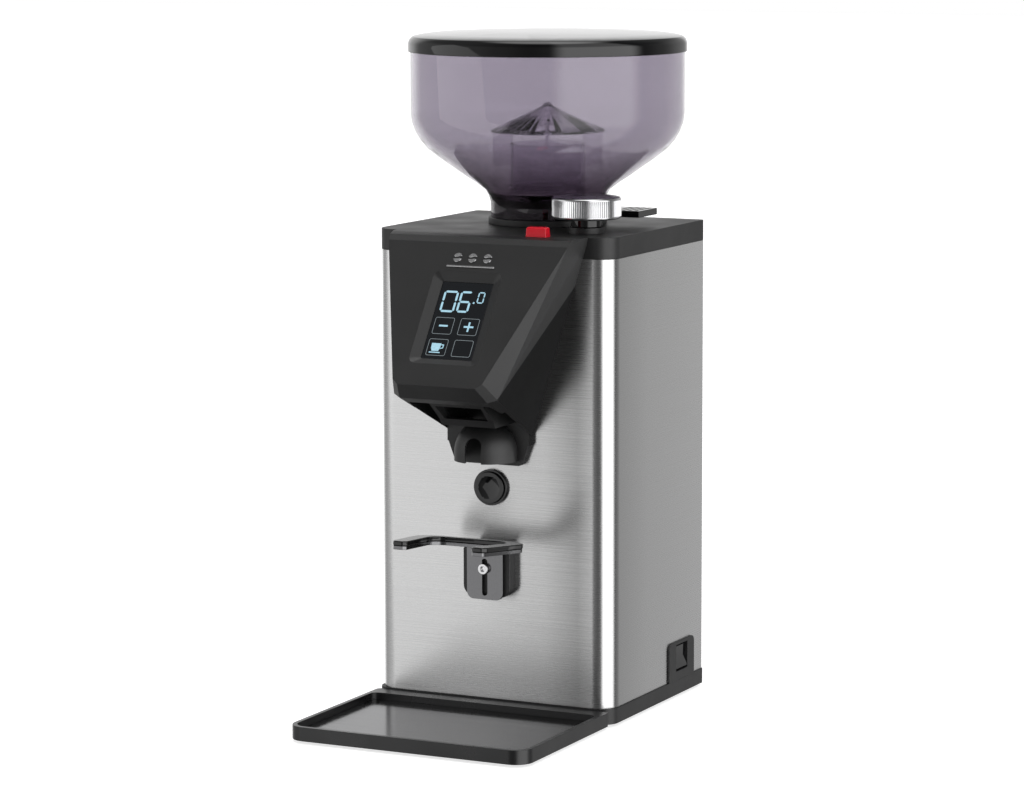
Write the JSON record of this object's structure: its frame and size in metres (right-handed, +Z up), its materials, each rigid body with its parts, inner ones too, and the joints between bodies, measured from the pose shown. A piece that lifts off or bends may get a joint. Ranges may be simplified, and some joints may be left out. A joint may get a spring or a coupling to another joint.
{
  "type": "burr coffee grinder",
  "caption": "Upright on-demand flat-burr coffee grinder with a smoked hopper, sloped touch console, height-adjustable portafilter fork and drip tray.",
  "frame": {"origin": "middle of the footprint's bounding box, on the surface that the grinder stands on", "axes": "+Z up, -Y towards the user at the steel front, X across the body on its centre plane"},
  "size_m": [0.1908, 0.3116, 0.4601],
  "materials": {
    "black_plastic": "fine spark-eroded grain, satin black",
    "dark_plastic": "plain moulded, matt",
    "gloss_black": "smooth glossy black",
    "tray_plastic": "satin black with a polished edge",
    "rubber": "matt",
    "brushed_steel": "horizontally brushed",
    "polished_steel": "polished",
    "tray_steel": "dark mirror finish",
    "knurled_aluminium": "knurled side, turned bright top",
    "cast_aluminium": "die cast",
    "machine_steel": "machined",
    "burr_steel": "hardened and ground",
    "gear_brass": "machined",
    "copper_wire": "enamelled copper",
    "circuit_board": "green laminate",
    "capacitor_case": "smooth",
    "display_glass": "polished black glass",
    "smoked_clear": "smoked purple-grey transparent plastic",
    "red_plastic": "glossy red"
  },
  "bodies": {
    "body": {"base_plate": "black_plastic", "rubber_feet": "rubber", "body_shell": "brushed_steel", "rear_cover": "brushed_steel", "body_screws": "machine_steel", "top_cover": "black_plastic", "console_housing": "black_plastic", "badge": "polished_steel", "display_glass": "display_glass", "display_board": "circuit_board", "chute": "black_plastic", "button_bezel": "gloss_black", "microswitch": "dark_plastic", "fork_guide": "black_plastic", "switch_housing": "black_plastic", "power_inlet": "dark_plastic", "inlet_pins": "gear_brass", "hopper_collar": "black_plastic", "grinding_chamber": "cast_aluminium", "frame_plate": "cast_aluminium", "support_posts": "cast_aluminium", "motor_housing": "cast_aluminium", "motor_end_bell": "cast_aluminium", "stator_core": "machine_steel", "stator_windings": "copper_wire", "bearing_outer_races": "machine_steel", "bearing_balls": "polished_steel", "run_capacitor": "capacitor_case", "control_board": "circuit_board", "lock_spring": "machine_steel"},
    "burr_drive": {"drive_shaft": "machine_steel", "bearing_inner_races": "machine_steel", "rotor": "machine_steel", "cooling_fan": "dark_plastic", "burr_carrier": "cast_aluminium", "lower_burr": "burr_steel", "lower_burr_screws": "machine_steel"},
    "adjuster_ring": {"adjustment_ring": "gear_brass", "upper_burr": "burr_steel", "upper_burr_screws": "machine_steel"},
    "adjuster_knob": {"adjustment_knob": "knurled_aluminium", "knob_stem": "gloss_black", "adjustment_pinion": "gear_brass"},
    "hopper": {"hopper": "smoked_clear", "gate_housing": "gloss_black", "bean_guard": "smoked_clear", "hopper_seal": "rubber"},
    "bean_gate": {"bean_gate": "gloss_black"},
    "lid": {"hopper_lid": "gloss_black"},
    "lock_button": {"lock_button": "red_plastic"},
    "push_button": {"push_button": "gloss_black", "button_spring": "machine_steel"},
    "fork": {"fork": "polished_steel", "fork_pad": "gloss_black"},
    "fork_screw": {"fork_screw": "polished_steel"},
    "tray": {"drip_tray": "tray_plastic", "tray_pads": "rubber"},
    "tray_plate": {"tray_plate": "tray_steel"},
    "rocker": {"power_rocker": "gloss_black"}
  },
  "joints": [
    {"name": "burr_spin", "type": "hinge", "parent": "body", "child": "burr_drive", "pos_m": [0, 0.06035, 0.202], "axis": [0, 0, 1], "continuous": true},
    {"name": "ring_turn", "type": "hinge", "parent": "body", "child": "adjuster_ring", "pos_m": [0, 0.06035, 0.302], "axis": [0, 0, 1], "range_deg": [-45, 45]},
    {"name": "knob_turn", "type": "hinge", "parent": "body", "child": "adjuster_knob", "pos_m": [0.05568, 0.00466, 0.332], "axis": [0, 0, 1], "range_deg": [-180, 180]},
    {"name": "hopper_lift", "type": "slide", "parent": "body", "child": "hopper", "axis": [0, 0, 1], "range_m": [0, 0.04]},
    {"name": "gate_slide", "type": "slide", "parent": "hopper", "child": "bean_gate", "axis": [-1, 0, 0], "range_m": [0, 0.031]},
    {"name": "lid_lift", "type": "slide", "parent": "hopper", "child": "lid", "axis": [0, 0, 1], "range_m": [0, 0.05]},
    {"name": "lock_press", "type": "slide", "parent": "body", "child": "lock_button", "axis": [0, 0, -1], "range_m": [0, 0.0025], "stiffness_N_per_m": 500, "deforming": ["lock_spring"]},
    {"name": "button_press", "type": "slide", "parent": "body", "child": "push_button", "axis": [0, 1, 0], "range_m": [0, 0.0035], "stiffness_N_per_m": 600},
    {"name": "fork_height", "type": "slide", "parent": "body", "child": "fork", "axis": [0, 0, 1], "range_m": [-0.0045, 0.016]},
    {"name": "screw_turn", "type": "hinge", "parent": "body", "child": "fork_screw", "pos_m": [0, -0.03675, 0.1036], "axis": [0, -1, 0], "range_deg": [0, 360]},
    {"name": "tray_slide", "type": "slide", "parent": "body", "child": "tray", "axis": [0, -1, 0], "range_m": [0, 0.12]},
    {"name": "plate_lift", "type": "slide", "parent": "tray", "child": "tray_plate", "axis": [0, 0, 1], "range_m": [0, 0.03]},
    {"name": "power_switch", "type": "hinge", "parent": "body", "child": "rocker", "pos_m": [0.082, 0.08855, 0.0279], "axis": [0, 1, 0], "range_deg": [0, 10.5]}
  ],
  "couplings": [
    {"joint": "knob_turn", "follows": "ring_turn", "ratio": -4}
  ]
}
